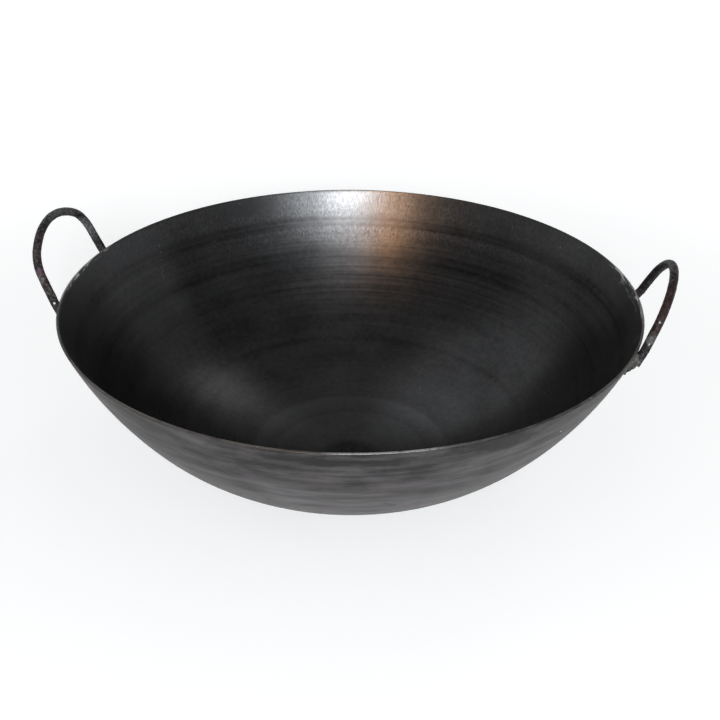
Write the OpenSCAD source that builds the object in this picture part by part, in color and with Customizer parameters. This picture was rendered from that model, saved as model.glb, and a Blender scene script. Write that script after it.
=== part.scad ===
// Round-bottom wok: a spun sheet-steel bowl with two bent rod handles, each welded on at its two feet.
// The bottom of the bowl is at z = 0 on the axis of the bowl, and the left handle is at -X.

/* [Bowl] */
// Diameter over the rim
rim_d = 460; // [400:1:560]
// Depth of the outside, from the edge of the rim to the bottom
bowl_depth = 149.5; // [130:0.5:180]
// Thickness of the sheet
sheet = 2; // [1.2:0.1:3.5]
// Outside radius of the knuckle between the round bottom and the upper wall
knuckle_r = 209; // [150:1:250]
// Slope of the wall where the round bottom ends and the knuckle begins
bottom_slope = 25; // [20:0.5:30]
// Slope of the wall where the knuckle ends and the upper wall begins
knuckle_slope = 48; // [42:0.5:52]
// Slope of the wall at the rim
rim_slope = 66; // [62:0.5:72]

/* [Handles] */
// Diameter of the rod that both handles are bent from
rod_d = 7; // [5:0.5:10]
// Slope of both loops above the rim
loop_slope = 66; // [56:0.5:76]
// Length of each leg below the rim, where it lies along the wall
foot_length = 13; // [10:1:20]
// Gap between a foot and the wall, which the weld beads close
foot_gap = 0.1; // [0.05:0.05:0.5]

/* [Left handle] */
// Spacing of the two feet, centre to centre
left_span = 107; // [90:1:125]
// Height of the crown above the rim, measured up the loop to the middle of the rod
left_rise = 51; // [44:0.5:60]
// Angle at which each leg leans in towards the crown
left_lean = 4.5; // [1:0.5:10]
// Radius of the two corner bends, to the middle of the rod
left_corner_r = 26; // [16:0.5:36]
// Radius of the bend over the crown, to the middle of the rod
left_crown_r = 73; // [66:0.5:90]

/* [Right handle] */
// Spacing of the two feet, centre to centre
right_span = 109; // [100:1:114]
// Height of the crown above the rim, measured up the loop to the middle of the rod
right_rise = 47; // [45:0.5:56]
// Angle at which each leg leans in towards the crown
right_lean = 19.5; // [14:0.5:24]
// Radius of the two corner bends, to the middle of the rod
right_corner_r = 39; // [26:0.5:42]
// Radius of the bend over the crown, to the middle of the rod
right_crown_r = 50; // [49:0.5:60]
// Angle round the rim by which this handle misses the point opposite the left one
right_turn = 3.3; // [-6:0.1:6]

/* [Weld beads] */
// Radius of the largest lump in a bead
bead_r = 5.5; // [5:0.25:7]
// Spacing of the lumps along a foot
bead_pitch = 4.5; // [3:0.25:4.5]
// Length of foot left bare between a bead and the rim
bead_gap = 3.5; // [1:0.5:5]
// Length of bead that tapers down the wall past the end of a foot
bead_tail = 13; // [8:1:18]

/* [Hidden] */
$fn = 160;
fine = 360;

steel_color = [0.17, 0.17, 0.18];
rod_color = [0.24, 0.21, 0.20];
weld_color = [0.30, 0.29, 0.28];

// The bottom radius and the wall radius make the three arcs reach both the rim's diameter and the depth
run_left = rim_d / 2 - knuckle_r * (sin(knuckle_slope) - sin(bottom_slope));
rise_left = bowl_depth - knuckle_r * (cos(bottom_slope) - cos(knuckle_slope));
bottom_run = sin(bottom_slope);
bottom_rise = 1 - cos(bottom_slope);
wall_run = sin(rim_slope) - sin(knuckle_slope);
wall_rise = cos(knuckle_slope) - cos(rim_slope);
arc_det = bottom_run * wall_rise - wall_run * bottom_rise;
bottom_r = rounded((run_left * wall_rise - wall_run * rise_left) / arc_det);
wall_r = rounded((bottom_run * rise_left - bottom_rise * run_left) / arc_det);

// Centre of the upper wall's arc in the profile's plane
wall_centre = [0, bottom_r] + (bottom_r - knuckle_r) * out_of(bottom_slope)
    + (knuckle_r - wall_r) * out_of(knuckle_slope);

// Where the middle of each foot meets the upper wall, and the rod's middle there
rod_r = rod_d / 2;
touch_slope = rim_slope - foot_length / 2 / wall_r * 180 / PI;
touch_point = wall_centre + wall_r * out_of(touch_slope);
touch_axis = touch_point + (rod_r + foot_gap) * out_of(touch_slope);

// How much larger in radius than the rod a round joint is, so that it closes the corner
joint_swell = 0.02;

// Turn of a round joint's poles off the rod's line, which keeps them inside the rod
joint_tilt = 25;

// Share of its size that a lump at the very end of a bead's tail has lost
bead_taper = 0.6;

// Size of the squares that trim the arcs of the profile, larger than any arc
block = 4 * rim_d;

// A length to a thousandth of a millimetre, so that arcs that follow each other meet
function rounded(length) = round(length * 1000) / 1000;

// Direction out of the wall, square to it, where the wall has this slope
function out_of(slope) = [sin(slope), -cos(slope)];

// Turn round the bowl's axis from the middle of a handle to the middle of one foot
function foot_turn(span) = asin(span / 2 / touch_axis[0]);

// Direction out of the wall at the middle of one foot
function foot_out(span) = [
    sin(touch_slope) * sin(foot_turn(span)),
    sin(touch_slope) * cos(foot_turn(span)),
    -cos(touch_slope)
];

// Slope at which a leg that leans in lies flat against the wall
function foot_slope(span, lean) =
    let (across = tan(lean) * foot_out(span)[0],
         level = foot_out(span)[1],
         steep = -foot_out(span)[2])
    acos(across / norm([level, steep])) - atan2(steep, level);

// Direction up a leg that leans in, in a plane of this slope
function leg_up(slope, lean) = [-sin(lean), cos(lean) * cos(slope), cos(lean) * sin(slope)];

// The corner between a foot and its leg, at the height of the rim
function foot_top(span, lean) =
    let (turn = foot_turn(span),
         middle = [touch_axis[0] * sin(turn), touch_axis[0] * cos(turn), touch_axis[1]],
         up = leg_up(foot_slope(span, lean), lean))
    middle + up * (bowl_depth - middle[2]) / up[2];

// One arc of the bowl's wall: it starts straight below the origin and sweeps outwards
module wall_arc(radius, sweep) {
    intersection() {
        difference() {
            circle(r = radius, $fn = fine);
            circle(r = radius - sheet, $fn = fine);
        }
        translate([0, -block / 2]) square([block / 2, block]);
        rotate(sweep) translate([-block / 2, -block / 2]) square([block / 2, block]);
    }
}

// Stands at the centre of the knuckle's arc, turned so that the knuckle starts straight below
module at_knuckle() {
    translate([0, bottom_r]) rotate(bottom_slope) translate([0, knuckle_r - bottom_r]) children();
}

// Stands at the centre of the upper wall's arc, turned so that the wall starts straight below
module at_wall() {
    at_knuckle() rotate(knuckle_slope - bottom_slope) translate([0, wall_r - knuckle_r]) children();
}

module bowl() {
    color(steel_color) rotate_extrude($fn = fine) {
        translate([0, bottom_r]) wall_arc(bottom_r, bottom_slope);
        at_knuckle() wall_arc(knuckle_r, knuckle_slope - bottom_slope);
        at_wall() wall_arc(wall_r, rim_slope - knuckle_slope);
    }
}

// What lies inside the outer surface of the upper wall, to trim the beads against
module wall_block() {
    rotate_extrude($fn = fine) intersection() {
        at_wall() circle(r = wall_r, $fn = fine);
        translate([0, touch_point[1] - 2 * foot_length]) square([rim_d, 4 * foot_length]);
    }
}

// Stands at a point, turned so that +Z runs along a direction
module along(point, way) {
    translate(point) rotate([0, acos(way[2] / norm(way)), atan2(way[1], way[0])]) children();
}

// A straight length of rod between two points
module rod(from, to) {
    along(from, to - from) cylinder(h = norm(to - from), d = rod_d);
}

// A bend of the rod round a centre in the loop's plane, between two angles
module rod_bend(centre, radius, low, high) {
    translate(centre) rotate([0, 0, low])
        rotate_extrude(angle = high - low) translate([radius, 0]) circle(d = rod_d);
}

// The round joint where one length of rod goes on from another
module joint(point, way) {
    along(point, way) rotate([joint_tilt, 0, 0]) sphere(r = rod_r + joint_swell);
}

// A whole handle, at +Y of the bowl's axis before it is turned to its place
module handle(span, rise, lean, corner_r, crown_r) {
    top = foot_top(span, lean);
    // In the loop's plane, from the middle of the crown's arc: the leg's line guides the corner's centre
    crown_y = rise - crown_r;
    leg_way = [-sin(lean), cos(lean)];
    reach = [top[0], 0] - corner_r * [cos(lean), sin(lean)] - [0, crown_y];
    passed = reach * leg_way;
    leg = sqrt(passed * passed - reach * reach + pow(crown_r - corner_r, 2)) - passed;
    corner = reach + leg * leg_way;
    corner_angle = atan2(corner[1], corner[0]);
    translate([0, top[1], bowl_depth]) rotate([loop_slope, 0, 0]) {
        rod_bend([0, crown_y], crown_r, corner_angle, 180 - corner_angle);
        for (side = [0, 1]) mirror([side, 0, 0]) {
            joint([0, crown_y] + crown_r * [cos(corner_angle), sin(corner_angle)],
                  [-sin(corner_angle), cos(corner_angle), 0]);
            rod_bend([0, crown_y] + corner, corner_r, lean, corner_angle);
            joint([top[0], 0] + leg * leg_way, [-sin(lean), cos(lean), 0]);
            rod([top[0], 0, 0], concat([top[0], 0] + leg * leg_way, [0]));
        }
    }
    for (side = [0, 1]) mirror([side, 0, 0]) {
        joint(top, leg_up(loop_slope, lean));
        rod(top - foot_length * leg_up(foot_slope(span, lean), lean), top);
    }
}

module left_loop() {
    rotate([0, 0, 90])
        handle(left_span, left_rise, left_lean, left_corner_r, left_crown_r);
}

module right_loop() {
    rotate([0, 0, right_turn - 90])
        handle(right_span, right_rise, right_lean, right_corner_r, right_crown_r);
}

module left_handle() {
    color(rod_color) left_loop();
}

module right_handle() {
    color(rod_color) right_loop();
}

// A row of lumps centred on the wall, from beside one foot to past its end, where they get smaller
module bead_row(span, lean) {
    up = leg_up(foot_slope(span, lean), lean);
    foot_end = foot_top(span, lean) - foot_length * up - rod_r * foot_out(span);
    for (reach = [foot_length - bead_gap - bead_r : -bead_pitch : -bead_tail])
        translate(foot_end + reach * up)
            sphere(r = bead_r * (1 - bead_taper * max(0, -reach / bead_tail)), $fn = 72);
}

// A bead: its row of lumps, less the bowl and the rod that it joins
module weld(span, lean, side, turn) {
    difference() {
        rotate([0, 0, turn]) mirror([side, 0, 0]) bead_row(span, lean);
        wall_block();
        if (turn > 0) left_loop();
        else right_loop();
    }
}

module left_front_weld() {
    color(weld_color) weld(left_span, left_lean, 1, 90);
}

module left_rear_weld() {
    color(weld_color) weld(left_span, left_lean, 0, 90);
}

module right_front_weld() {
    color(weld_color) weld(right_span, right_lean, 0, right_turn - 90);
}

module right_rear_weld() {
    color(weld_color) weld(right_span, right_lean, 1, right_turn - 90);
}

bowl();
left_handle();
right_handle();
left_front_weld();
left_rear_weld();
right_front_weld();
right_rear_weld();
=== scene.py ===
"""A round-bottom wok of blackened steel with two bent rod handles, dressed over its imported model."""

import logging
import math
from dataclasses import dataclass, field
from enum import Enum
from typing import Sequence

import bpy
from mathutils import Matrix, Vector

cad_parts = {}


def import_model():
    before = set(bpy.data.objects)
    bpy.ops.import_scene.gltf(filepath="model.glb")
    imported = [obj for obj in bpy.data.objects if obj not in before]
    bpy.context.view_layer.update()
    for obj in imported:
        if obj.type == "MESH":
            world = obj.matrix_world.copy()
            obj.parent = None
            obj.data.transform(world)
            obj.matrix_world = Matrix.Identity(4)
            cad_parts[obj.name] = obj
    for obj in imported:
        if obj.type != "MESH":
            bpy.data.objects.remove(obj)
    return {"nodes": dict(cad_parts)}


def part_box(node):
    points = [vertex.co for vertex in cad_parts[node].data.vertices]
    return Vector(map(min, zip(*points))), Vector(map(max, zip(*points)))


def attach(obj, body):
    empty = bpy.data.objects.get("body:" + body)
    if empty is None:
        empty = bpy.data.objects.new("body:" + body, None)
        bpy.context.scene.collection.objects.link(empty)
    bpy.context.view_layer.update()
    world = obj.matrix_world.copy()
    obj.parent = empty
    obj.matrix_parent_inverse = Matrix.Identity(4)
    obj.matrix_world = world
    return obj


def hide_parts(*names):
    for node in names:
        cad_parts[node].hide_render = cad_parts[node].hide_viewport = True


log = logging.getLogger("wok")

BODY = "root"
MM = 0.001
MERGE = 0.01 * MM
BOWL_DEPTH = 149.5 * MM
QUARTER_TURN = math.radians(90)
RIGHT_HANDLE_OFF = math.radians(3.3)
UPWARD = Vector((0, 0, 1))
MIRROR = Matrix.Scale(-1, 4, Vector((1, 0, 0)))
MIDDLE = 0.5
WHITE = (1.0, 1.0, 1.0)
BLACK = (0.0, 0.0, 0.0)
Colour = tuple[float, float, float]
Span = tuple[float, float]


class Side(Enum):
    """Which of the two handles."""

    LEFT = "left"
    RIGHT = "right"


class Foot(Enum):
    """Which foot of a handle."""

    FRONT = "front"
    REAR = "rear"


def from_bearing(bearing: float, elevation: float) -> Vector:
    """The way from the wok to a point, where bearing 0 is at -Y.

    Args:
        bearing: The angle round the axis, in degrees.
        elevation: The height over the horizon, in degrees.

    Returns:
        A unit vector.
    """
    turn, tilt = math.radians(bearing), math.radians(elevation)
    return Vector((math.sin(turn) * math.cos(tilt), -math.cos(turn) * math.cos(tilt), math.sin(tilt)))


def outward(slope: float) -> Vector:
    """The way out of the wall in the plane of +X and +Z.

    Args:
        slope: The wall's slope.

    Returns:
        A unit vector.
    """
    return Vector((math.sin(slope), 0, -math.cos(slope)))


class Value:
    """One output of a material's nodes, which adds Math nodes where it is used in an expression."""

    def __init__(self, nodes: "Nodes", socket: bpy.types.NodeSocket | None) -> None:
        """Wraps an output socket.

        Args:
            nodes: The material's nodes.
            socket: The output, or None for a node that has none.
        """
        self.nodes = nodes
        self.socket = socket

    def _with(self, operation: str, first: object, second: object) -> "Value":
        """Adds one Math node.

        Args:
            operation: The Math node's operation.
            first: Its first input, a value or a number.
            second: Its second input, a value or a number.

        Returns:
            The result.
        """
        return self.nodes.add("ShaderNodeMath", {"operation": operation}, {0: first, 1: second})

    def __add__(self, other: object) -> "Value":
        """This plus another."""
        return self._with("ADD", self, other)

    def __radd__(self, other: object) -> "Value":
        """Another plus this."""
        return self._with("ADD", other, self)

    def __sub__(self, other: object) -> "Value":
        """This less another."""
        return self._with("SUBTRACT", self, other)

    def __rsub__(self, other: object) -> "Value":
        """Another less this."""
        return self._with("SUBTRACT", other, self)

    def __mul__(self, other: object) -> "Value":
        """This times another."""
        return self._with("MULTIPLY", self, other)

    def __rmul__(self, other: object) -> "Value":
        """Another times this."""
        return self._with("MULTIPLY", other, self)

    def __truediv__(self, other: object) -> "Value":
        """This over another."""
        return self._with("DIVIDE", self, other)

    def __rtruediv__(self, other: object) -> "Value":
        """Another over this."""
        return self._with("DIVIDE", other, self)


class Nodes:
    """A material's or the world's nodes."""

    def __init__(self, owner: bpy.types.Material | bpy.types.World) -> None:
        """Empties the nodes of a material or a world.

        Args:
            owner: The material or the world.
        """
        self.owner = owner
        self.owner.use_nodes = True
        self.tree = owner.node_tree
        self.tree.nodes.clear()

    def add(self, kind: str, settings: dict | None = None, inputs: dict | None = None,
            output: int | str = 0) -> Value:
        """Adds one node.

        Args:
            kind: The node's type.
            settings: Its settings, and for a ramp "stops", each one's place and shade of grey.
            inputs: Numbers, colours or values by socket name or place.
            output: The output that is wanted.

        Returns:
            That output, wrapped.
        """
        node = self.tree.nodes.new(kind)
        for name, setting in (settings or {}).items():
            if name == "stops":
                self._stops(node, setting)
            else:
                setattr(node, name, setting)
        for name, given in (inputs or {}).items():
            if isinstance(given, Value):
                self.tree.links.new(given.socket, node.inputs[name])
            elif isinstance(given, tuple) and node.inputs[name].type == "RGBA":
                node.inputs[name].default_value = (*given, 1.0)
            else:
                node.inputs[name].default_value = given
        return Value(self, node.outputs[output]) if node.outputs else Value(self, None)

    @staticmethod
    def _stops(node: bpy.types.Node, stops: Sequence[Span]) -> None:
        """Sets a ramp's stops.

        Args:
            node: The ramp.
            stops: Each stop's place and its shade of grey.
        """
        elements = node.color_ramp.elements
        while len(elements) < len(stops):
            elements.new(MIDDLE)
        for element, (place, shade) in zip(elements, stops):
            element.position = place
            element.color = (shade, shade, shade, 1.0)

    def place(self) -> tuple[Value, Value, Value]:
        """The point's x, y and z on the object, in metres."""
        at = self.add("ShaderNodeTexCoord", output="Object")
        split = self.add("ShaderNodeSeparateXYZ", inputs={0: at}).socket.node
        return tuple(Value(self, split.outputs[axis]) for axis in range(3))

    def vector(self, x: object, y: object, z: object) -> Value:
        """A vector of three numbers."""
        return self.add("ShaderNodeCombineXYZ", inputs={0: x, 1: y, 2: z})

    def seen(self) -> Value:
        """1 where the camera looks, directly, in a gloss or through glass, and 0 for other light."""
        camera = self.add("ShaderNodeLightPath", output="Is Camera Ray")
        outputs = camera.socket.node.outputs
        return camera + Value(self, outputs["Is Glossy Ray"]) + Value(self, outputs["Is Transmission Ray"])

    def root(self, number: Value) -> Value:
        """The square root of a number."""
        return self.add("ShaderNodeMath", {"operation": "SQRT"}, {0: number})

    def noise(self, at: Value, scale: float, layers: float, rough: float) -> Value:
        """Soft noise from 0 to 1.

        Args:
            at: The place that it is read at.
            scale: Lumps to a unit of that place.
            layers: Finer layers on top.
            rough: How strong those layers are.

        Returns:
            The noise.
        """
        return self.add("ShaderNodeTexNoise", inputs={"Vector": at, "Scale": scale, "Detail": layers,
                                                      "Roughness": rough})

    def spots(self, at: Value, scale: float) -> Value:
        """Distance to the nearest of many scattered points.

        Args:
            at: The place that it is read at.
            scale: Points to a unit of that place.

        Returns:
            The distance, in cells.
        """
        return self.add("ShaderNodeTexVoronoi", inputs={"Vector": at, "Scale": scale})

    def step(self, number: Value, low: float, high: float) -> Value:
        """A soft step.

        Args:
            number: What is looked at.
            low: Where the result is 0.
            high: Where the result is 1.

        Returns:
            A number from 0 to 1.
        """
        return self.add("ShaderNodeMapRange", {"interpolation_type": "SMOOTHSTEP"},
                        {"Value": number, "From Min": low, "From Max": high})

    def band(self, number: Value, start: Span, end: Span) -> Value:
        """A soft stretch: 1 between a start and an end.

        Args:
            number: What is looked at.
            start: Where the result is 0 and where it is 1, at the stretch's start.
            end: Where it is 0 and where it is 1, at the stretch's end.

        Returns:
            A number from 0 to 1.
        """
        return self.step(number, *start) * self.step(number, *end)

    def swing(self, noise: Value, reach: object) -> Value:
        """Noise as a swing to both sides of 0, this wide in all."""
        return (noise - MIDDLE) * reach

    def ramp(self, number: Value, stops: Sequence[Span]) -> Value:
        """A curve through points.

        Args:
            number: What is looked at, from 0 to 1.
            stops: Each point's place and height.

        Returns:
            The height there.
        """
        return self.add("ShaderNodeValToRGB", {"stops": stops}, {0: number})

    def blend(self, first: object, second: object, share: object) -> Value:
        """A mix of two colours.

        Args:
            first: The colour at share 0.
            second: The colour at share 1.
            share: How much of the second.

        Returns:
            The mixed colour.
        """
        return self.add("ShaderNodeMix", {"data_type": "RGBA"}, {0: share, 6: first, 7: second}, output=2)

    def bump(self, height: Value, depth: float, strength: float) -> Value:
        """A normal that follows a height.

        Args:
            height: The height, as a share of the depth.
            depth: The depth of the relief in metres.
            strength: How much of the relief shows.

        Returns:
            The normal.
        """
        return self.add("ShaderNodeBump", inputs={"Height": height, "Distance": depth, "Strength": strength})

    def finish(self, **inputs: object) -> bpy.types.Material:
        """Closes the material with a Principled shader.

        Args:
            inputs: Numbers, colours or values by socket name, with _ for a space.

        Returns:
            The material.
        """
        sockets = {name.replace("_", " "): given for name, given in inputs.items()}
        shader = self.add("ShaderNodeBsdfPrincipled", inputs=sockets)
        self.add("ShaderNodeOutputMaterial", inputs={"Surface": shader})
        return self.owner


@dataclass(frozen=True)
class Grain:
    """A noise that is drawn out round the bowl's axis.

    It has so many lumps to one radian across, and a pitch in metres along, with finer layers on top.
    """

    across: float
    pitch: float
    layers: float
    rough: float


@dataclass(frozen=True)
class Cloud:
    """A noise that is the same all ways: lumps to a metre, finer layers on top, and how strong those are."""

    lumps: float
    layers: float
    rough: float

    def show(self, at: Value) -> Value:
        """The noise at a point, from 0 to 1."""
        return at.nodes.noise(at, self.lumps, self.layers, self.rough)


@dataclass(frozen=True)
class Sector:
    """A stretch round the axis, by its bearing from -Y and the angles off it where it is full and gone."""

    bearing: float
    full: float
    gone: float


class Turned:
    """Places on a surface turned about the upright axis, for patterns that follow its turning."""

    def __init__(self, nodes: Nodes) -> None:
        """Works out the place on the surface.

        Args:
            nodes: The material's nodes.
        """
        self.nodes = nodes
        x, y, z = nodes.place()
        self.height = z
        self.radius = nodes.root(x * x + y * y)
        self.right = x / self.radius
        self.back = y / self.radius
        self.at = nodes.vector(x, y, z)

    def _drawn(self, grain: Grain, along: Value) -> Value:
        """A grain, drawn out round the axis.

        Args:
            grain: The grain.
            along: What counts its lumps the other way, in metres.

        Returns:
            The noise, from 0 to 1.
        """
        at = self.nodes.vector(self.right * grain.across, self.back * grain.across, along / grain.pitch)
        return self.nodes.noise(at, 1.0, grain.layers, grain.rough)

    def ringed(self, grain: Grain) -> Value:
        """A grain that runs in rings, for the inside."""
        return self._drawn(grain, self.radius)

    def banded(self, grain: Grain) -> Value:
        """A grain that runs in level bands, for the outside."""
        return self._drawn(grain, self.height)

    def toward(self, sector: Sector) -> Value:
        """1 in the middle of a sector and 0 away from it.

        Args:
            sector: The sector.

        Returns:
            A number from 0 to 1.
        """
        way = from_bearing(sector.bearing, 0.0)
        facing = self.right * way.x + self.back * way.y
        low, high = (math.cos(math.radians(angle)) for angle in (sector.gone, sector.full))
        return self.nodes.step(facing, low, high)

    def near(self, sectors: Sequence[Sector]) -> Value:
        """1 in the middle of any of several sectors and 0 away from them all."""
        first, *others = [self.toward(sector) for sector in sectors]
        return sum(others, first)


@dataclass(frozen=True)
class Mark:
    """A short mark on the wall, from one level to another."""

    bearing: float
    width: float
    low: float
    high: float
    soft: float = 0.004
    strength: float = 0.12
    core: float = 0.4

    def show(self, face: Turned, level: Value) -> Value:
        """How much of the mark shows.

        Args:
            face: The surface that it is on.
            level: Where a point is between the axis or the ground and the rim.

        Returns:
            A number from 0 to the mark's strength.
        """
        start = (self.low - self.soft, self.low + self.soft)
        end = (self.high + self.soft, self.high - self.soft)
        sector = Sector(self.bearing, self.width * self.core, self.width)
        return face.nodes.band(level, start, end) * face.toward(sector) * self.strength


@dataclass(frozen=True)
class Wear:
    """Chips of bare steel along a ring of the wall."""

    ring: Span
    chips: Span
    strength: float
    sectors: tuple[Sector, ...]

    def show(self, face: Turned, share: Value, chips: Value) -> Value:
        """How much of the wear shows.

        Args:
            face: The surface that it is on.
            share: The distance from the axis, as a share of the rim's radius.
            chips: The noise that its chips are cut from.

        Returns:
            A number from 0 to the wear's strength.
        """
        nodes = face.nodes
        chipped = nodes.step(share, *self.ring) * nodes.step(chips, *self.chips)
        return chipped * self.strength * face.near(self.sectors)


@dataclass(frozen=True)
class InnerSteel:
    """The seasoned inside of the bowl: near black, with spinning lines, a brushed upper wall, painted shade
    near the rim at both ends and a painted reflection on the left wall.

    A span says where a feature is gone and where it is full, as a share of the rim's radius or of a noise.
    """

    rim_radius: float
    dark: Colour = (0.008, 0.008, 0.0085)
    pale: Colour = (0.094, 0.096, 0.100)
    bare: Colour = (0.50, 0.50, 0.50)
    rings: tuple[Span, ...] = (
        (0.0, 0.30), (0.085, 0.34), (0.12, 0.68), (0.262, 0.74), (0.275, 0.62), (0.30, 0.70),
        (0.340, 0.78), (0.355, 0.56), (0.59, 0.38), (0.607, 0.30), (0.625, 0.38), (0.842, 0.42),
        (0.85, 0.32), (0.862, 0.40), (0.92, 0.54), (0.938, 0.40), (0.955, 0.62), (1.0, 0.68),
    )
    line_grain: Grain = Grain(0.7, 2.6 * MM, 4.0, 0.65)
    line_tone: float = 0.14
    line_relief: float = 0.03
    lined_start: Span = (0.70, 0.80)
    lined_end: Span = (0.96, 0.90)
    lined_side: Sector = Sector(-168.0, 60.0, 110.0)
    lined_tone: float = 0.5
    lined_relief: float = 0.4
    groove_start: Span = (0.920, 0.930)
    groove_end: Span = (0.950, 0.942)
    groove_tone: float = 0.7
    groove_calm: float = 0.75
    upper_wall: Span = (0.85, 0.93)
    upper_rough: float = 0.065
    brushed_side: Sector = Sector(-168.0, 30.0, 75.0)
    brush_least: float = 0.03
    brush_most: float = 0.88
    patch: Span = (0.36, 0.56)
    sweep_grain: Grain = Grain(2.5, 16 * MM, 4.0, 0.6)
    sweep_tone: float = 0.35
    stroke_width: float = 0.9 * MM
    stroke_length: float = 1.3 * MM
    stroke_tone: float = 1.3
    stroke_relief: float = 1.1
    glint_grain: Grain = Grain(300.0, 1.7 * MM, 1.0, 0.5)
    glint: Span = (0.60, 0.76)
    glint_tone: float = 0.7
    clouds: Cloud = Cloud(14.0, 5.0, 0.6)
    cloud_tone: float = 0.5
    mottle: Cloud = Cloud(240.0, 3.0, 0.6)
    mottle_tone: float = 0.4
    mottle_relief: float = 0.1
    # Painted shade: the tone is lowered near the rim at the far left and right of the wall, standing in for
    # dark surroundings reflected there.
    ends: tuple[Sector, ...] = (Sector(-76.0, 10.0, 28.0), Sector(96.0, 20.0, 46.0))
    end_shade: float = 0.24
    # A painted reflection: a pale upright band on the left wall that lifts the tone.
    painted_reflection_side: Sector = Sector(-107.0, 4.0, 15.0)
    painted_reflection_start: Span = (0.66, 0.84)
    painted_reflection_end: Span = (0.985, 0.91)
    painted_reflection_light: float = 0.30
    speck_pitch: float = 10 * MM
    speck: Span = (0.075, 0.035)
    specked: Span = (0.54, 0.60)
    speck_strength: float = 0.3
    chip_grain: Grain = Grain(15.0, 1.2 * MM, 3.0, 0.65)
    wear: tuple[Wear, ...] = (
        Wear((0.9855, 0.9895), (0.50, 0.58), 0.8, (Sector(-93.0, 6.0, 12.0), Sector(106.0, 9.0, 15.0))),
        Wear((0.970, 0.984), (0.56, 0.62), 0.3, (Sector(105.0, 8.0, 12.0),)),
    )
    marks: tuple[Mark, ...] = (
        Mark(-117.9, 0.40, 0.953, 0.956, soft=0.002),
        Mark(-117.7, 0.35, 0.940, 0.944, soft=0.002),
        Mark(-117.0, 0.35, 0.926, 0.928, soft=0.002),
        Mark(-115.9, 0.22, 0.906, 0.916, soft=0.003),
        Mark(-115.1, 0.20, 0.892, 0.906, soft=0.003),
        Mark(88.2, 0.50, 0.966, 0.982, soft=0.003, strength=0.35),
        Mark(150.9, 0.25, 0.966, 0.970),
        Mark(-133.0, 0.25, 0.925, 0.928),
    )
    roughness: float = 0.29
    rough_swing: float = 0.12
    relief_depth: float = 0.07 * MM

    def _worn(self, face: Turned, share: Value, clouds: Value) -> Value:
        """Where the steel is bare.

        Args:
            face: The surface.
            share: The distance from the axis, as a share of the rim's radius.
            clouds: The noise that says where the specks are.

        Returns:
            A number from 0 to 1.
        """
        nodes = face.nodes
        specks = nodes.step(nodes.spots(face.at, 1.0 / self.speck_pitch), *self.speck)
        worn = specks * nodes.step(clouds, *self.specked) * self.speck_strength
        chips = face.ringed(self.chip_grain)
        for wear in self.wear:
            worn = worn + wear.show(face, share, chips)
        for mark in self.marks:
            worn = worn + mark.show(face, share)
        return worn

    def build(self) -> bpy.types.Material:
        """Makes the material.

        Returns:
            The material.
        """
        nodes = Nodes(bpy.data.materials.new("inner_steel"))
        face = Turned(nodes)
        share = face.radius / self.rim_radius
        lines = face.ringed(self.line_grain)
        sweeps = face.ringed(self.sweep_grain)
        across = self.rim_radius / self.stroke_width
        strokes = face.ringed(Grain(across, self.stroke_length, layers=2.0, rough=0.5))
        glints = nodes.step(face.ringed(self.glint_grain), *self.glint)
        clouds = self.clouds.show(face.at)
        mottle = self.mottle.show(face.at)
        upper = nodes.step(share, *self.upper_wall)
        groove = nodes.band(share, self.groove_start, self.groove_end)
        patches = nodes.step(sweeps, *self.patch)
        reach = self.brush_least + face.toward(self.brushed_side) * patches * self.brush_most
        brushed = upper * reach * (1.0 - groove * self.groove_calm)
        lined = nodes.band(share, self.lined_start, self.lined_end) * face.toward(self.lined_side)
        # The painted reflection: a pale upright band on the left wall.
        painted_reflection = face.toward(self.painted_reflection_side) * nodes.band(share, self.painted_reflection_start, self.painted_reflection_end)
        tone = nodes.ramp(share, self.rings)
        # Painted shade: darker near the rim at both ends of the wall.
        tone = tone - face.near(self.ends) * upper * self.end_shade + painted_reflection * self.painted_reflection_light
        tone = tone + nodes.swing(lines, self.line_tone + lined * self.lined_tone + groove * self.groove_tone)
        for noise, width in ((clouds, self.cloud_tone), (mottle, self.mottle_tone),
                             (sweeps, self.sweep_tone)):
            tone = tone + nodes.swing(noise, width)
        tone = tone + (nodes.swing(strokes, self.stroke_tone) + glints * self.glint_tone) * brushed
        worn = self._worn(face, share, clouds)
        colour = nodes.blend(nodes.blend(self.dark, self.pale, tone), self.bare, worn)
        roughness = (self.roughness + upper * self.upper_rough + nodes.swing(lines, self.rough_swing)
                     + nodes.swing(clouds, self.rough_swing))
        height = (strokes * brushed * self.stroke_relief
                  + lines * (self.line_relief + lined * self.lined_relief) + mottle * self.mottle_relief)
        return nodes.finish(Base_Color=colour, Metallic=1.0, Roughness=roughness,
                            Anisotropic=0.3, Anisotropic_Rotation=0.25,
                            Normal=nodes.bump(height, self.relief_depth, strength=0.8))


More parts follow.
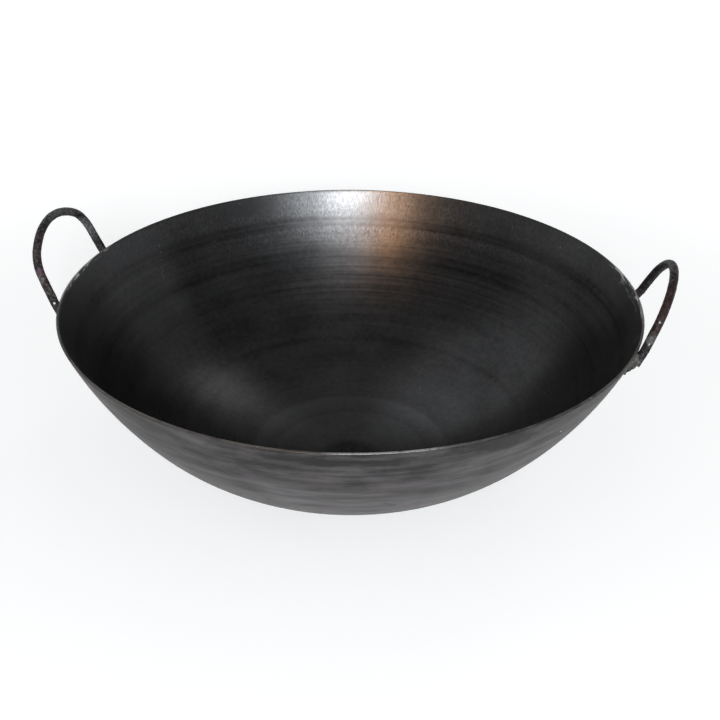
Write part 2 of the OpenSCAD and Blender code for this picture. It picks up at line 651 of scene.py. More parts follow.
@dataclass(frozen=True)
class OuterSteel:
    """The satin outside of the bowl: grey and smeared round its axis, with a painted gradient of light:
    lighter towards the bottom as a painted reflection of the floor, and darker under the rim.

    The painted light levels are shares of the bowl's depth, and a span says where a feature is gone and where
    it is full.
    """

    depth: float
    dark: Colour = (0.008, 0.0075, 0.008)
    pale: Colour = (0.112, 0.107, 0.110)
    smudge: Colour = (0.020, 0.018, 0.021)
    bare: Colour = (0.60, 0.58, 0.57)
    tint: Colour = (0.070, 0.058, 0.062)
    # Painted light by height: lighter towards the bottom as a painted reflection of the floor, darker under
    # the rim.
    painted_light_levels: tuple[Span, ...] = (
        (0.30, 0.88), (0.48, 0.76), (0.62, 0.48), (0.75, 0.30), (0.94, 0.13), (1.0, 0.10),
    )
    broad_grain: Grain = Grain(2.0, 24 * MM, 4.0, 0.6)
    broad_tone: float = 1.3
    smear_grain: Grain = Grain(3.4, 7 * MM, 5.0, 0.62)
    smear_tone: float = 1.6
    streak_grain: Grain = Grain(9.0, 1.6 * MM, 3.0, 0.6)
    streak_tone: float = 0.3
    streak_relief: float = 0.6
    clouds: Cloud = Cloud(22.0, 5.0, 0.66)
    cloud_tone: float = 1.6
    fine: Cloud = Cloud(500.0, 2.0, 0.5)
    fine_relief: float = 0.4
    smudge_grain: Grain = Grain(11.0, 9 * MM, 3.0, 0.6)
    smudged: Span = (0.60, 0.72)
    smudge_strength: float = 0.7
    tint_grain: Grain = Grain(5.0, 20 * MM, 4.0, 0.6)
    tinted: Span = (0.52, 0.66)
    tint_strength: float = 0.5
    speck_pitch: float = 22 * MM
    speck: Span = (0.055, 0.025)
    specked: Span = (0.44, 0.5)
    smeared: Span = (0.36, 0.56)
    smears: tuple[Mark, ...] = (
        Mark(-1.0, 9.0, 0.742, 0.772, soft=0.010, strength=0.8),
        Mark(-15.0, 7.0, 0.695, 0.722, soft=0.010, strength=0.8),
        Mark(-23.0, 8.0, 0.708, 0.730, soft=0.010, strength=0.8),
        Mark(14.0, 5.0, 0.608, 0.630, soft=0.012, strength=0.8),
        Mark(31.0, 6.0, 0.602, 0.670, soft=0.020, strength=0.8),
    )
    roughness: float = 0.48
    streak_rough: float = 0.2
    cloud_rough: float = 0.3
    relief_depth: float = 0.08 * MM

    def build(self) -> bpy.types.Material:
        """Makes the material.

        Returns:
            The material.
        """
        nodes = Nodes(bpy.data.materials.new("outer_steel"))
        face = Turned(nodes)
        smears = face.banded(self.smear_grain)
        streaks = face.banded(self.streak_grain)
        clouds = self.clouds.show(face.at)
        height = face.height / self.depth
        # Painted light: the tone is lighter towards the bottom and darker under the rim.
        tone = nodes.ramp(height, self.painted_light_levels)
        for noise, width in ((face.banded(self.broad_grain), self.broad_tone), (smears, self.smear_tone),
                             (streaks, self.streak_tone), (clouds, self.cloud_tone)):
            tone = tone + nodes.swing(noise, width)
        specks = nodes.step(nodes.spots(face.at, 1.0 / self.speck_pitch), *self.speck)
        scuffed = specks * nodes.step(clouds, *self.specked)
        smudged = nodes.step(face.banded(self.smudge_grain), *self.smudged)
        broken = nodes.step(smears, *self.smeared)
        for mark in self.smears:
            smudged = smudged + mark.show(face, height) * broken
        tinted = nodes.step(face.banded(self.tint_grain), *self.tinted)
        steel = nodes.blend(nodes.blend(self.dark, self.pale, tone), self.tint, tinted * self.tint_strength)
        steel = nodes.blend(steel, self.smudge, smudged * self.smudge_strength)
        colour = nodes.blend(steel, self.bare, scuffed)
        roughness = (self.roughness + nodes.swing(streaks, self.streak_rough)
                     + nodes.swing(clouds, self.cloud_rough))
        relief = streaks * self.streak_relief + self.fine.show(face.at) * self.fine_relief
        return nodes.finish(Base_Color=colour, Roughness=roughness, Specular_IOR_Level=0.2,
                            Anisotropic=0.4, Anisotropic_Rotation=0.25,
                            Normal=nodes.bump(relief, self.relief_depth, strength=0.5))


@dataclass(frozen=True)
class CutEdge:
    """The cut edge of the sheet at the rim, brown and rubbed bright in places, with a painted highlight at
    the front.
    """

    dull: Colour = (0.030, 0.026, 0.025)
    grey: Colour = (0.085, 0.087, 0.084)
    brown: Colour = (0.080, 0.071, 0.064)
    bright: Colour = (0.32, 0.318, 0.315)
    patches: Cloud = Cloud(26.0, 5.0, 0.65)
    greyed: Span = (0.40, 0.58)
    browned: Span = (0.36, 0.56)
    brown_side: Sector = Sector(-20.0, 26.0, 40.0)
    flecks: Cloud = Cloud(300.0, 3.0, 0.6)
    flecked: Span = (0.22, 0.50)
    strewn: Span = (0.62, 0.70)
    strewn_strength: float = 0.5
    rub_strength: float = 0.8
    rubbed: tuple[Sector, ...] = (Sector(-90.0, 10.0, 17.0), Sector(106.0, 10.0, 17.0))
    # A painted highlight on the front of the cut edge.
    front_highlight_strength: float = 0.85
    front_painted_highlight: Sector = Sector(17.5, 6.0, 12.0)

    def build(self) -> bpy.types.Material:
        """Makes the material.

        Returns:
            The material.
        """
        nodes = Nodes(bpy.data.materials.new("cut_edge"))
        face = Turned(nodes)
        patches = self.patches.show(face.at)
        flecks = self.flecks.show(face.at)
        # The front term is a painted highlight, to which the rubbed places are added.
        rubbed = face.toward(self.front_painted_highlight) * self.front_highlight_strength
        for sector in self.rubbed:
            rubbed = rubbed + face.toward(sector) * self.rub_strength
        strewn = nodes.step(flecks, *self.strewn) * self.strewn_strength
        shiny = rubbed * nodes.step(flecks, *self.flecked) + strewn
        browned = face.toward(self.brown_side) * nodes.step(patches, *self.browned)
        steel = nodes.blend(self.dull, self.grey, nodes.step(patches, *self.greyed))
        colour = nodes.blend(nodes.blend(steel, self.brown, browned), self.bright, shiny)
        return nodes.finish(Base_Color=colour, Metallic=0.5, Roughness=0.45)


@dataclass(frozen=True)
class Blot:
    """A ragged spot of another colour on a rod or a bead; some are stains and worn patches, some are painted
    glints and painted sheen.

    Noise frays its outline and thins it out, and its rim is a span of shares of its reach.
    """

    centre: tuple[float, float, float]
    reach: float
    colour: Colour
    strength: float = 1.0
    fray: float = 1.2
    thin: float = 0.35
    thick: Span = (0.42, 0.58)
    rim: Span = (1.0, 0.45)

    def show(self, at: Value, ragged: Value) -> Value:
        """How much of the blot shows.

        Args:
            at: The point on the rod.
            ragged: Noise that frays the blot's outline.

        Returns:
            A number from 0 to 1.
        """
        nodes = at.nodes
        away = nodes.add("ShaderNodeVectorMath", {"operation": "DISTANCE"}, {0: at, 1: self.centre}, "Value")
        frayed = away / self.reach + nodes.swing(ragged, self.fray)
        grainy = self.thin + nodes.step(ragged, *self.thick) * (1.0 - self.thin)
        return nodes.step(frayed, *self.rim) * grainy * self.strength


@dataclass(frozen=True)
class RodSteel:
    """The rough dark scale on the handles' rod, grey where it is rubbed."""

    name: str
    scale: Colour = (0.009, 0.0078, 0.0085)
    pit: Colour = (0.003, 0.0025, 0.003)
    grey: Colour = (0.110, 0.106, 0.107)
    rust: Colour = (0.026, 0.014, 0.014)
    blots: tuple[Blot, ...] = ()
    blotches: Cloud = Cloud(75.0, 4.0, 0.6)
    blotched: Span = (0.42, 0.60)
    rusting: Cloud = Cloud(40.0, 3.0, 0.5)
    rusted: Span = (0.50, 0.62)
    rust_strength: float = 0.8
    flakes: Cloud = Cloud(520.0, 4.0, 0.7)
    flaked: Span = (0.44, 0.60)
    flaked_strength: float = 0.9
    flake_relief: float = 0.6
    flecks: Cloud = Cloud(430.0, 3.0, 0.6)
    flecked: Span = (0.52, 0.66)
    fleck_strength: float = 0.6
    fleck_relief: float = 0.4
    pitted: Span = (0.48, 0.36)
    pit_strength: float = 0.75
    roughness: float = 0.55
    rough_swing: float = 0.6
    relief_depth: float = 0.5 * MM

    def build(self) -> bpy.types.Material:
        """Makes the material.

        Returns:
            The material.
        """
        nodes = Nodes(bpy.data.materials.new(self.name))
        at = nodes.vector(*nodes.place())
        flakes = self.flakes.show(at)
        flecks = self.flecks.show(at)
        rusty = nodes.step(self.rusting.show(at), *self.rusted)
        blotched = nodes.step(self.blotches.show(at), *self.blotched)
        worn = (nodes.step(flakes, *self.flaked) * blotched * self.flaked_strength
                + nodes.step(flecks, *self.flecked) * self.fleck_strength)
        colour = nodes.blend(nodes.blend(self.scale, self.rust, rusty * self.rust_strength), self.grey, worn)
        for blot in self.blots:
            colour = nodes.blend(colour, blot.colour, blot.show(at, flakes))
        colour = nodes.blend(colour, self.pit, nodes.step(flecks, *self.pitted) * self.pit_strength)
        roughness = self.roughness + nodes.swing(flakes, self.rough_swing)
        height = flakes * self.flake_relief + flecks * self.fleck_relief
        return nodes.finish(Base_Color=colour, Roughness=roughness, Specular_IOR_Level=0.12,
                            Normal=nodes.bump(height, self.relief_depth, strength=0.8))


ROD_BLOTS = {
    Side.LEFT: (
        # Lighter grey on the upper loop: partly worn scale and partly painted sheen.
        Blot((-0.2451, 0.0156, 0.1966), 26 * MM, (0.085, 0.088, 0.092), 0.8),
        Blot((-0.2356, 0.0477, 0.1692), 14 * MM, (0.095, 0.095, 0.100), 0.8),
        Blot((-0.2265, 0.0501, 0.1516), 14 * MM, (0.006, 0.005, 0.006), 0.9),
        Blot((-0.2438, -0.0387, 0.1897), 18 * MM, (0.034, 0.022, 0.023), 0.8),
        Blot((-0.2367, -0.0527, 0.1744), 4 * MM, (0.100, 0.060, 0.095), 0.8),
        Blot((-0.2263, -0.0561, 0.1478), 8 * MM, (0.012, 0.008, 0.009), 0.9),
        # A painted glint: a tiny white spot.
        Blot((-0.2264, -0.0561, 0.1494), 1.2 * MM, (0.85, 0.85, 0.85)),
    ),
    Side.RIGHT: (
        # Lighter grey on the top of the loop: partly worn scale and partly painted sheen.
        Blot((0.2427, 0.0260, 0.1926), 18 * MM, (0.060, 0.057, 0.055), 0.8),
        Blot((0.2351, 0.0557, 0.1653), 26 * MM, (0.007, 0.006, 0.008), 0.9),
        Blot((0.2466, -0.0134, 0.1888), 15 * MM, (0.018, 0.007, 0.006), 0.9),
        Blot((0.2419, -0.0259, 0.1794), 13 * MM, (0.018, 0.0055, 0.005), 0.9),
        Blot((0.2378, -0.0342, 0.1682), 11 * MM, (0.020, 0.007, 0.0055), 0.9),
        # A painted glint: a tiny white spot.
        Blot((0.2397, -0.0326, 0.1709), 1.1 * MM, (0.65, 0.65, 0.65)),
        Blot((0.2342, -0.0383, 0.1583), 6 * MM, (0.090, 0.085, 0.083), 0.9),
        # A painted glint: a tiny white spot.
        Blot((0.2337, -0.0394, 0.1554), 1.0 * MM, (0.60, 0.60, 0.60)),
        Blot((0.2294, -0.0425, 0.1482), 6 * MM, (0.006, 0.005, 0.008), 0.9),
    ),
}
BEAD_BLOTS = {
    Side.LEFT: (
        Blot((-0.2245, -0.0570, 0.1455), 8 * MM, (0.007, 0.006, 0.007), 0.95),
        # A painted glint: a tiny white spot.
        Blot((-0.2230, -0.0580, 0.1436), 2.0 * MM, (0.85, 0.85, 0.85)),
    ),
    Side.RIGHT: (
        Blot((0.2263, -0.0451, 0.1441), 3.5 * MM, (0.115, 0.120, 0.095), 0.8),
        Blot((0.2216, -0.0474, 0.1397), 9 * MM, (0.075, 0.077, 0.072), 0.7),
    ),
}


@dataclass(frozen=True)
class FloorFinish:
    """The plain pale floor, which fades to white away from the wok."""

    colour: Colour = (0.9, 0.9, 0.9)
    lift: float = 0.24
    near: float = 0.35
    far: float = 1.6

    def build(self) -> bpy.types.Material:
        """Makes the material.

        Returns:
            The material.
        """
        nodes = Nodes(bpy.data.materials.new("floor"))
        x, y, z = nodes.place()
        away = nodes.step(nodes.root(x * x + y * y), self.near, self.far)
        glow = nodes.seen() * (self.lift + away * (1.0 - self.lift))
        shine = nodes.blend(BLACK, WHITE, glow)
        return nodes.finish(Base_Color=self.colour, Roughness=1.0, Specular_IOR_Level=0.0,
                            Emission_Color=shine, Emission_Strength=1.0)


def start_clean() -> None:
    """Leaves edit mode and deselects everything."""
    if bpy.context.object and bpy.context.object.mode != "OBJECT":
        bpy.ops.object.mode_set(mode="OBJECT")
    bpy.ops.object.select_all(action="DESELECT")


def pick(piece: bpy.types.Object) -> None:
    """Makes a piece the only one selected.

    Args:
        piece: The piece.
    """
    start_clean()
    piece.select_set(True)
    bpy.context.view_layer.objects.active = piece


def edit_all() -> None:
    """Enters edit mode with everything selected."""
    bpy.ops.object.mode_set(mode="EDIT")
    bpy.ops.mesh.select_all(action="SELECT")


def join(pieces: Sequence[bpy.types.Object]) -> bpy.types.Object:
    """Joins pieces.

    Args:
        pieces: The pieces.

    Returns:
        The first of them, which now holds them all.
    """
    start_clean()
    for piece in pieces:
        piece.select_set(True)
    bpy.context.view_layer.objects.active = pieces[0]
    bpy.ops.object.join()
    return bpy.context.object


def apply_modifier(piece: bpy.types.Object, kind: str, settings: dict) -> None:
    """Adds a modifier to a piece and applies it.

    Args:
        piece: The piece.
        kind: The modifier's type.
        settings: The modifier's settings.
    """
    pick(piece)
    modifier = piece.modifiers.new(kind.lower(), kind)
    for name, setting in settings.items():
        setattr(modifier, name, setting)
    bpy.ops.object.modifier_apply(modifier=modifier.name)


@dataclass(frozen=True)
class Relief:
    """An uneven surface: the size of its lumps, its depth in all, and the share of it that lies inwards."""

    name: str
    lump: float
    depth: float
    inward: float

    def press(self, piece: bpy.types.Object) -> None:
        """Moves a piece's surface in and out.

        Args:
            piece: The piece.
        """
        clouds = bpy.data.textures.new(self.name, "CLOUDS")
        clouds.noise_scale = self.lump
        apply_modifier(piece, "DISPLACE", {"texture": clouds, "texture_coords": "LOCAL",
                                           "strength": self.depth, "mid_level": self.inward})


def settle(piece: bpy.types.Object, name: str, materials: Sequence[bpy.types.Material], angle: float) -> None:
    """Names a piece, puts its place into its mesh, smooths it and gives it its materials.

    Args:
        piece: The piece.
        name: Its name.
        materials: Its materials, by slot.
        angle: The sharpest angle that is still shaded smooth.
    """
    pick(piece)
    piece.name = name
    piece.data.name = name
    bpy.ops.object.transform_apply(location=True, rotation=True, scale=True)
    bpy.ops.object.shade_smooth_by_angle(angle=angle)
    for material in materials:
        piece.data.materials.append(material)
    log.info("%s: %d faces", name, len(piece.data.polygons))


@dataclass(frozen=True)
class Section:
    """The profile of the bowl's outside: three arcs from the middle of the bottom to the rim."""

    rim_radius: float
    depth: float
    knuckle_radius: float = 209 * MM
    bottom_slope: float = math.radians(25)
    knuckle_slope: float = math.radians(48)
    rim_slope: float = math.radians(66)

    def _outer_radii(self) -> tuple[float, float]:
        """The bottom's and the wall's radius, which make the arcs reach the rim.

        Returns:
            The two radii.
        """
        knuckle_run = math.sin(self.knuckle_slope) - math.sin(self.bottom_slope)
        knuckle_rise = math.cos(self.bottom_slope) - math.cos(self.knuckle_slope)
        run = self.rim_radius - self.knuckle_radius * knuckle_run
        rise = self.depth - self.knuckle_radius * knuckle_rise
        bottom_run = math.sin(self.bottom_slope)
        bottom_rise = 1 - math.cos(self.bottom_slope)
        wall_run = math.sin(self.rim_slope) - math.sin(self.knuckle_slope)
        wall_rise = math.cos(self.knuckle_slope) - math.cos(self.rim_slope)
        spread = bottom_run * wall_rise - wall_run * bottom_rise
        return (run * wall_rise - wall_run * rise) / spread, (bottom_run * rise - bottom_rise * run) / spread

    def arcs(self) -> list[tuple[float, Vector, float, float]]:
        """Each arc's radius, centre and its slopes at both ends.

        Returns:
            The arcs from the middle outwards.
        """
        bottom_radius, wall_radius = self._outer_radii()
        bottom = Vector((0, 0, bottom_radius))
        knuckle = bottom + (bottom_radius - self.knuckle_radius) * outward(self.bottom_slope)
        wall = knuckle + (self.knuckle_radius - wall_radius) * outward(self.knuckle_slope)
        return [
            (bottom_radius, bottom, 0.0, self.bottom_slope),
            (self.knuckle_radius, knuckle, self.bottom_slope, self.knuckle_slope),
            (wall_radius, wall, self.knuckle_slope, self.rim_slope),
        ]


@dataclass
class Bowl:
    """The spun bowl: one sheet with a rounded cut edge."""

    section: Section
    sheet: float = 2 * MM
    edge_round: float = 0.55 * MM
    edge_angle: float = math.radians(50)
    edge_steps: int = 3
    turns: int = 288
    arc_step: float = 3.2 * MM
    smooth_angle: float = math.radians(35)
    dents: Relief = Relief("dents", lump=90 * MM, depth=0.5 * MM, inward=0.5)
    piece: bpy.types.Object | None = field(default=None, init=False)

    def _arc(self, radius: float, centre: Vector, low: float, high: float) -> bpy.types.Object:
        """Makes one arc of the profile from a circle.

        Args:
            radius: The arc's radius.
            centre: The arc's centre.
            low: The slope where it starts.
            high: The slope where it ends.

        Returns:
            The arc.
        """
        start_clean()
        count = 4 * round(math.tau * radius / self.arc_step / 4)
        bpy.ops.mesh.primitive_circle_add(vertices=count, radius=radius, location=centre,
                                          rotation=(math.pi / 2, 0, 0))
        bpy.ops.object.transform_apply(location=True, rotation=True, scale=True)
        bpy.ops.object.mode_set(mode="EDIT")
        for slope, turn in ((low, 1), (high, -1)):
            bpy.ops.mesh.select_all(action="SELECT")
            along = Vector((math.cos(slope), 0, math.sin(slope))) * turn
            bpy.ops.mesh.bisect(plane_co=centre, plane_no=along, clear_inner=True)
        bpy.ops.object.mode_set(mode="OBJECT")
        return bpy.context.object

    def _spin(self) -> None:
        """Spins the profile round the axis, with the faces to the outside."""
        edit_all()
        bpy.ops.mesh.remove_doubles(threshold=MERGE)
        bpy.ops.mesh.spin(steps=self.turns, angle=math.tau, center=(0, 0, 0), axis=UPWARD)
        bpy.ops.mesh.select_all(action="SELECT")
        bpy.ops.mesh.remove_doubles(threshold=MERGE)
        bpy.ops.mesh.normals_make_consistent(inside=False)
        bpy.ops.object.mode_set(mode="OBJECT")
        lowest = min(self.piece.data.polygons, key=lambda face: face.center.z)
        if lowest.normal.z > 0:
            edit_all()
            bpy.ops.mesh.flip_normals()
            bpy.ops.object.mode_set(mode="OBJECT")

    def build(self) -> None:
        """Makes the sheet from its profile, and gives it its dents, its thickness and its edge."""
        self.piece = join([self._arc(*arc) for arc in self.section.arcs()])
        for finish in self.finishes():
            self.piece.data.materials.append(finish.build())
        self._spin()
        self.dents.press(self.piece)
        apply_modifier(self.piece, "SOLIDIFY", {"thickness": self.sheet, "offset": -1.0,
                                                "use_even_offset": True, "material_offset": 1,
                                                "material_offset_rim": 2})
        apply_modifier(self.piece, "BEVEL", {"width": self.edge_round, "segments": self.edge_steps,
                                             "limit_method": "ANGLE", "angle_limit": self.edge_angle})

    def finishes(self) -> tuple[OuterSteel, InnerSteel, CutEdge]:
        """The finishes of the outside, the inside and the cut edge, in the order of their slots."""
        return OuterSteel(self.section.depth), InnerSteel(self.section.rim_radius), CutEdge()

    def dress(self) -> None:
        """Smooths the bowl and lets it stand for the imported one."""
        settle(self.piece, "bowl_sheet", [], self.smooth_angle)
        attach(self.piece, BODY)
        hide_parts("bowl")


@dataclass
class Rod:
    """A length of round rod that grows from a circle by straights and bends."""

    start: Vector
    way: Vector
    radius: float
    corners: int = 28
    step: float = 2.2 * MM

    def begin(self) -> None:
        """Adds the circle that the rod grows from, with all of it selected in edit mode."""
        start_clean()
        turn = UPWARD.rotation_difference(self.way).to_euler()
        bpy.ops.mesh.primitive_circle_add(vertices=self.corners, radius=self.radius,
                                          location=self.start, rotation=turn)
        bpy.ops.object.transform_apply(location=True, rotation=True, scale=True)
        edit_all()

    def straight(self, length: float) -> None:
        """Grows the rod straight on.

        Args:
            length: How far it grows.
        """
        count = max(1, round(length / self.step))
        move = {"value": self.way * (length / count)}
        for _ in range(count):
            bpy.ops.mesh.extrude_region_move(TRANSFORM_OT_translate=move)
        self.start = self.start + self.way * length

    def bend(self, axis: Vector, angle: float, radius: float) -> None:
        """Grows the rod round a bend.

        Args:
            axis: The way that the bend turns about, square to the rod.
            angle: The angle that it turns by.
            radius: The bend's radius, to the rod's middle.
        """
        centre = self.start + radius * axis.cross(self.way).normalized()
        count = max(2, round(angle * radius / self.step))
        bpy.ops.mesh.spin(steps=count, angle=-angle, center=centre, axis=axis)
        turn = Matrix.Rotation(angle, 3, axis)
        self.start = centre + turn @ (self.start - centre)
        self.way = (turn @ self.way).normalized()

    def end(self) -> bpy.types.Object:
        """Closes both ends and leaves edit mode.

        Returns:
            The rod.
        """
        bpy.ops.mesh.select_all(action="DESELECT")
        bpy.ops.mesh.select_mode(type="EDGE")
        bpy.ops.mesh.select_non_manifold()
        bpy.ops.mesh.edge_face_add()
        bpy.ops.mesh.select_all(action="SELECT")
        bpy.ops.mesh.normals_make_consistent(inside=False)
        bpy.ops.object.mode_set(mode="OBJECT")
        return bpy.context.object


@dataclass
class Handle:
    """One rod loop, worked out at +Y from the wall that its feet lie on, and turned to its place."""

    side: Side
    section: Section
    span: float
    rise: float
    lean: float
    corner_radius: float
    crown_radius: float
    turn: float
    rod_radius: float = 3.5 * MM
    loop_slope: float = math.radians(66)
    foot_length: float = 13 * MM
    foot_gap: float = 0.1 * MM
    kink_radius: float = 12 * MM
    end_round: float = 0.6 * MM
    end_angle: float = math.radians(60)
    end_steps: int = 2
    smooth_angle: float = math.radians(60)
    scale: Relief = Relief("scale", lump=6 * MM, depth=0.35 * MM, inward=0.7)
    piece: bpy.types.Object | None = field(default=None, init=False)

    def touch(self) -> tuple[float, float, float]:
        """Where the middle of a foot meets the wall.

        Returns:
            The wall's slope there, and the distance from the bowl's axis and height of the rod's middle.
        """
        radius, centre, _, rim_slope = self.section.arcs()[-1]
        slope = rim_slope - self.foot_length / 2 / radius
        middle = centre + (radius + self.rod_radius + self.foot_gap) * outward(slope)
        return slope, middle.x, middle.z

    def out(self) -> Vector:
        """The way out of the wall at the middle of the foot at +X."""
        slope, reach, _ = self.touch()
        turn = math.asin(self.span / 2 / reach)
        level = math.sin(slope)
        return Vector((level * math.sin(turn), level * math.cos(turn), -math.cos(slope)))

    def up_leg(self, slope: float) -> Vector:
        """The way up the leg at +X in a plane of this slope."""
        level = math.cos(self.lean)
        return Vector((-math.sin(self.lean), level * math.cos(slope), level * math.sin(slope)))

    def up_foot(self) -> Vector:
        """The way up the foot at +X, flat against the wall."""
        out = self.out()
        across = math.tan(self.lean) * out.x
        slope = math.acos(across / math.hypot(out.y, out.z)) - math.atan2(-out.z, out.y)
        return self.up_leg(slope)

    def top(self) -> Vector:
        """The corner between the foot at +X and its leg, at the height of the rim."""
        _, reach, height = self.touch()
        turn = math.asin(self.span / 2 / reach)
        middle = Vector((reach * math.sin(turn), reach * math.cos(turn), height))
        up = self.up_foot()
        return middle + up * ((self.section.depth - middle.z) / up.z)

    def place(self) -> Matrix:
        """The turn that brings the handle from +Y to its place."""
        return Matrix.Rotation(self.turn, 4, "Z")

    def _loop(self, top: Vector) -> tuple[float, float]:
        """Fits the leg and the corner between the foot and the crown, in the plane of the loop.

        Args:
            top: The corner between the foot at +X and its leg.

        Returns:
            The leg's length, and how far round from +X the bend at the corner ends.
        """
        leg_way = Vector((-math.sin(self.lean), math.cos(self.lean)))
        across = Vector((math.cos(self.lean), math.sin(self.lean)))
        crown_y = self.rise - self.crown_radius
        reach = Vector((top.x, 0)) - self.corner_radius * across - Vector((0, crown_y))
        passed = reach.dot(leg_way)
        apart = self.crown_radius - self.corner_radius
        leg = math.sqrt(passed ** 2 - reach.dot(reach) + apart ** 2) - passed
        corner = reach + leg * leg_way
        return leg, math.atan2(corner.y, corner.x)

    def build(self) -> None:
        """Bends the rod from one foot over the crown to the other, and rounds and roughens it."""
        top = self.top()
        up = self.up_foot()
        loop_way = self.up_leg(self.loop_slope)
        leg, corner_angle = self._loop(top)
        axis = Vector((0, -math.sin(self.loop_slope), math.cos(self.loop_slope)))
        kink_axis = up.cross(loop_way).normalized()
        kink = up.angle(loop_way)
        cut = self.kink_radius * math.tan(kink / 2)
        corner_bend = (axis, corner_angle - self.lean, self.corner_radius)
        rod = Rod(top - self.foot_length * up, up, self.rod_radius)
        rod.begin()
        rod.straight(self.foot_length - cut)
        rod.bend(kink_axis, kink, self.kink_radius)
        rod.straight(leg - cut)
        rod.bend(*corner_bend)
        rod.bend(axis, math.pi - 2 * corner_angle, self.crown_radius)
        rod.bend(*corner_bend)
        rod.straight(leg - cut)
        rod.bend(MIRROR.to_3x3() @ kink_axis, kink, self.kink_radius)
        rod.straight(self.foot_length - cut)
        self.piece = rod.end()
        self.piece.data.transform(self.place())
        apply_modifier(self.piece, "BEVEL", {"width": self.end_round, "segments": self.end_steps,
                                             "limit_method": "ANGLE", "angle_limit": self.end_angle})
        self.scale.press(self.piece)

    def dress(self) -> None:
        """Gives the rod its dark scale."""
        name = f"{self.side.value}_rod"
        steel = RodSteel(f"{name}_steel", blots=ROD_BLOTS[self.side])
        settle(self.piece, name, [steel.build()], self.smooth_angle)
        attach(self.piece, BODY)
        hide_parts(f"{self.side.value}_handle")


@dataclass
class Bead:
    """One weld bead: lumps from beside a foot to past its end, melted together."""

    handle: Handle
    foot: Foot
    mirrored: bool
    lump_radius: float = 5.3 * MM
    pitch: float = 4.5 * MM
    gap: float = 3.6 * MM
    tail: float = 9.5 * MM
    taper: float = 0.7
    sunk: float = 0.8 * MM
    grain: float = 0.45 * MM
    smooth_angle: float = math.radians(60)
    melt: Relief = Relief("melt", lump=5 * MM, depth=1.2 * MM, inward=0.7)
    piece: bpy.types.Object | None = field(default=None, init=False)

    def _lumps(self, foot_end: Vector, up: Vector) -> list[bpy.types.Object]:
        """Makes the row of lumps, which grow smaller past the foot's end.

        Args:
            foot_end: The point on the wall at the foot's end.
            up: The way up the foot.

        Returns:
            The lumps, from the top down.
        """
        lumps = []
        reach = self.handle.foot_length - self.gap - self.lump_radius
        while reach > -self.tail:
            size = self.lump_radius * (1 - self.taper * max(0.0, -reach / self.tail))
            start_clean()
            bpy.ops.mesh.primitive_ico_sphere_add(subdivisions=4, radius=size, location=foot_end + reach * up)
            lumps.append(bpy.context.object)
            reach -= self.pitch
        return lumps

    def build(self) -> None:
        """Melts the lumps into one, cuts them off inside the sheet and brings them to their foot."""
        handle = self.handle
        up = handle.up_foot()
        out = handle.out()
        foot_end = handle.top() - handle.foot_length * up - handle.rod_radius * out
        self.piece = join(self._lumps(foot_end, up))
        bpy.ops.object.transform_apply(location=True, rotation=True, scale=True)
        apply_modifier(self.piece, "REMESH", {"mode": "VOXEL", "voxel_size": self.grain})
        self.melt.press(self.piece)
        apply_modifier(self.piece, "SMOOTH", {"factor": 0.5, "iterations": 3})
        edit_all()
        inside = foot_end - self.sunk * out
        bpy.ops.mesh.bisect(plane_co=inside, plane_no=out, clear_inner=True, use_fill=True)
        bpy.ops.object.mode_set(mode="OBJECT")
        if self.mirrored:
            self.piece.data.transform(MIRROR)
            self.piece.data.flip_normals()
        self.piece.data.transform(handle.place())

    def dress(self) -> None:
        """Gives the bead its weld metal."""
        place = f"{self.handle.side.value}_{self.foot.value}"
        metal = RodSteel(f"{place}_bead_metal", scale=(0.012, 0.0115, 0.011), grey=(0.075, 0.077, 0.071),
                         rust=(0.018, 0.014, 0.012), blots=BEAD_BLOTS[self.handle.side])
        settle(self.piece, f"{place}_bead", [metal.build()], self.smooth_angle)
        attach(self.piece, BODY)
        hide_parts(f"{place}_weld")


@dataclass(frozen=True)
class Lamp:
    """One soft lamp, placed by its bearing from the camera's side, its height and its distance."""

    name: str
    bearing: float
    elevation: float
    size: float
    power: float
    colour: Colour = WHITE
    gloss_only: bool = False
    distance: float = 6.0

    def build(self, aim: Vector, camera_bearing: float) -> None:
        """Adds the lamp, turned to the wok.

        Args:
            aim: The point that it faces.
            camera_bearing: The camera's bearing, in degrees.
        """
        data = bpy.data.lights.new(self.name, "AREA")
        data.shape = "DISK"
        data.size = self.size
        data.energy = self.power
        data.color = self.colour
        lamp = bpy.data.objects.new(self.name, data)
        lamp.visible_camera = False
        lamp.visible_diffuse = not self.gloss_only
        bpy.context.scene.collection.objects.link(lamp)
        way = from_bearing(camera_bearing + self.bearing, self.elevation)
        lamp.location = aim + way * self.distance
        lamp.rotation_euler = way.to_track_quat("Z", "Y").to_euler()


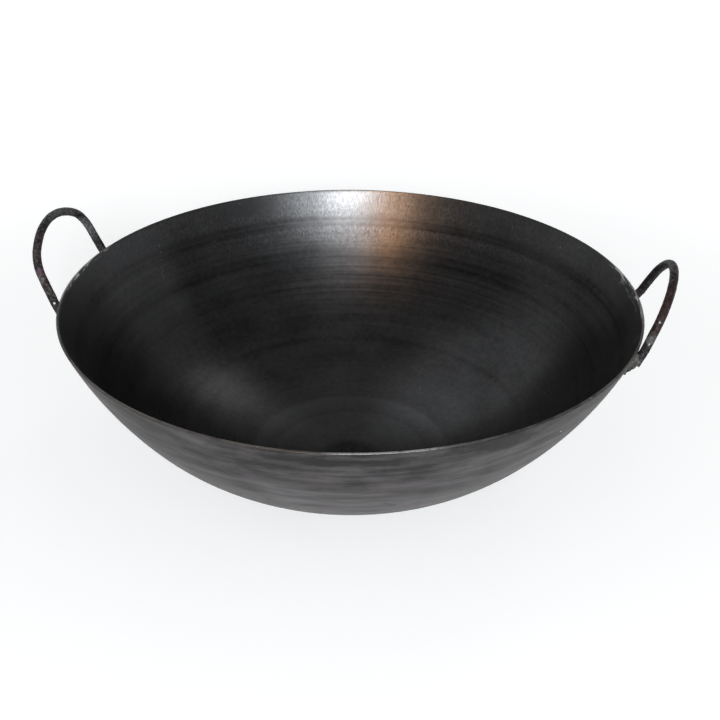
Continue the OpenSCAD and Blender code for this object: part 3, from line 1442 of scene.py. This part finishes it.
@dataclass
class Studio:
    """The floor, the lamps, the world and the camera."""

    rim_centre: Vector
    rim_radius: float
    camera_bearing: float = 11.59
    camera_elevation: float = 26.265
    camera_distance: float = 4.9973
    yaw: float = -0.370
    pitch: float = -2.404
    roll: float = -0.253
    lens: float = 72.42
    sensor: float = 36.0
    sight: float = 100.0
    floor_size: float = 60.0
    ambient: float = 0.28
    backdrop_top: float = math.sin(math.radians(9))
    backdrop_fade: float = math.sin(math.radians(14))
    lamps: tuple[Lamp, ...] = (
        Lamp("key", bearing=1.5, elevation=26.5, size=1.2, power=435.0, colour=(0.96, 0.985, 1.0)),
        Lamp("window", bearing=20.0, elevation=28.0, size=1.4, power=60.0, colour=(0.92, 0.97, 1.0),
             gloss_only=True),
        Lamp("warm", bearing=-17.2, elevation=34.5, size=0.3, power=130.0, colour=(1.0, 0.45, 0.13),
             gloss_only=True),
        Lamp("side", bearing=140.0, elevation=42.0, size=1.8, power=11.5, colour=(1.0, 0.96, 0.92)),
        Lamp("far_side", bearing=-130.0, elevation=44.0, size=5.5, power=42.0, gloss_only=True),
    )

    def build(self) -> None:
        """Sets up everything round the wok."""
        self._floor()
        self._world()
        for lamp in self.lamps:
            lamp.build(self.rim_centre, self.camera_bearing)
        self._camera()
        bpy.context.scene.view_settings.view_transform = "Standard"

    def _floor(self) -> None:
        """Lays the floor under the wok."""
        start_clean()
        bpy.ops.mesh.primitive_plane_add(size=self.floor_size, location=(0, 0, 0))
        floor = bpy.context.object
        floor.name = "floor"
        floor.data.materials.append(FloorFinish().build())

    def _world(self) -> None:
        """Lights the wok softly from all round, with a white backdrop above the floor."""
        bpy.context.scene.world = bpy.data.worlds.new("studio")
        nodes = Nodes(bpy.context.scene.world)
        way = nodes.add("ShaderNodeTexCoord", output="Generated")
        height = nodes.add("ShaderNodeSeparateXYZ", inputs={0: way}, output="Z")
        backdrop = nodes.seen() * nodes.step(height, self.backdrop_fade, self.backdrop_top)
        strength = self.ambient + backdrop * (1.0 - self.ambient)
        light = nodes.add("ShaderNodeBackground", inputs={"Color": WHITE, "Strength": strength})
        nodes.add("ShaderNodeOutputWorld", inputs={"Surface": light})

    def _camera(self) -> None:
        """Stands the camera where the photograph was taken from."""
        back = from_bearing(self.camera_bearing, self.camera_elevation)
        right = from_bearing(self.camera_bearing + 90, 0.0)
        ways = {"right": right, "up": right.cross(-back), "forward": -back}
        for axis, angle in (("up", self.yaw), ("right", self.pitch), ("forward", self.roll)):
            turn = Matrix.Rotation(math.radians(angle), 3, ways[axis])
            ways = {name: turn @ way for name, way in ways.items()}
        data = bpy.data.cameras.new("camera")
        data.lens = self.lens
        data.sensor_width = self.sensor
        data.clip_end = self.sight
        camera = bpy.data.objects.new("camera", data)
        bpy.context.scene.collection.objects.link(camera)
        place = Matrix((ways["right"], ways["up"], -ways["forward"])).transposed().to_4x4()
        place.translation = self.rim_centre + back * (self.camera_distance * self.rim_radius)
        camera.matrix_world = place
        bpy.context.scene.camera = camera


def main() -> None:
    """Builds the wok and the studio round it."""
    logging.basicConfig(level=logging.INFO, format="%(name)s: %(message)s")
    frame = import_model()
    log.info("frame with %d nodes", len(frame["nodes"]))
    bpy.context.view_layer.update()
    low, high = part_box("bowl")
    rim_radius = (high[0] - low[0]) / 2
    section = Section(rim_radius=rim_radius, depth=BOWL_DEPTH)
    bowl = Bowl(section)
    bowl.build()
    bowl.dress()
    left = Handle(Side.LEFT, section, span=107 * MM, rise=51 * MM, lean=math.radians(4.5),
                  corner_radius=26 * MM, crown_radius=73 * MM, turn=QUARTER_TURN)
    right = Handle(Side.RIGHT, section, span=109 * MM, rise=47 * MM, lean=math.radians(19.5),
                   corner_radius=39 * MM, crown_radius=50 * MM, turn=RIGHT_HANDLE_OFF - QUARTER_TURN)
    for handle in (left, right):
        handle.build()
        handle.dress()
    beads = (
        Bead(left, Foot.FRONT, mirrored=True),
        Bead(left, Foot.REAR, mirrored=False),
        Bead(right, Foot.FRONT, mirrored=False),
        Bead(right, Foot.REAR, mirrored=True),
    )
    for bead in beads:
        bead.build()
        bead.dress()
    Studio(rim_centre=Vector((0, 0, section.depth)), rim_radius=rim_radius).build()


if __name__ == "__main__":
    main()
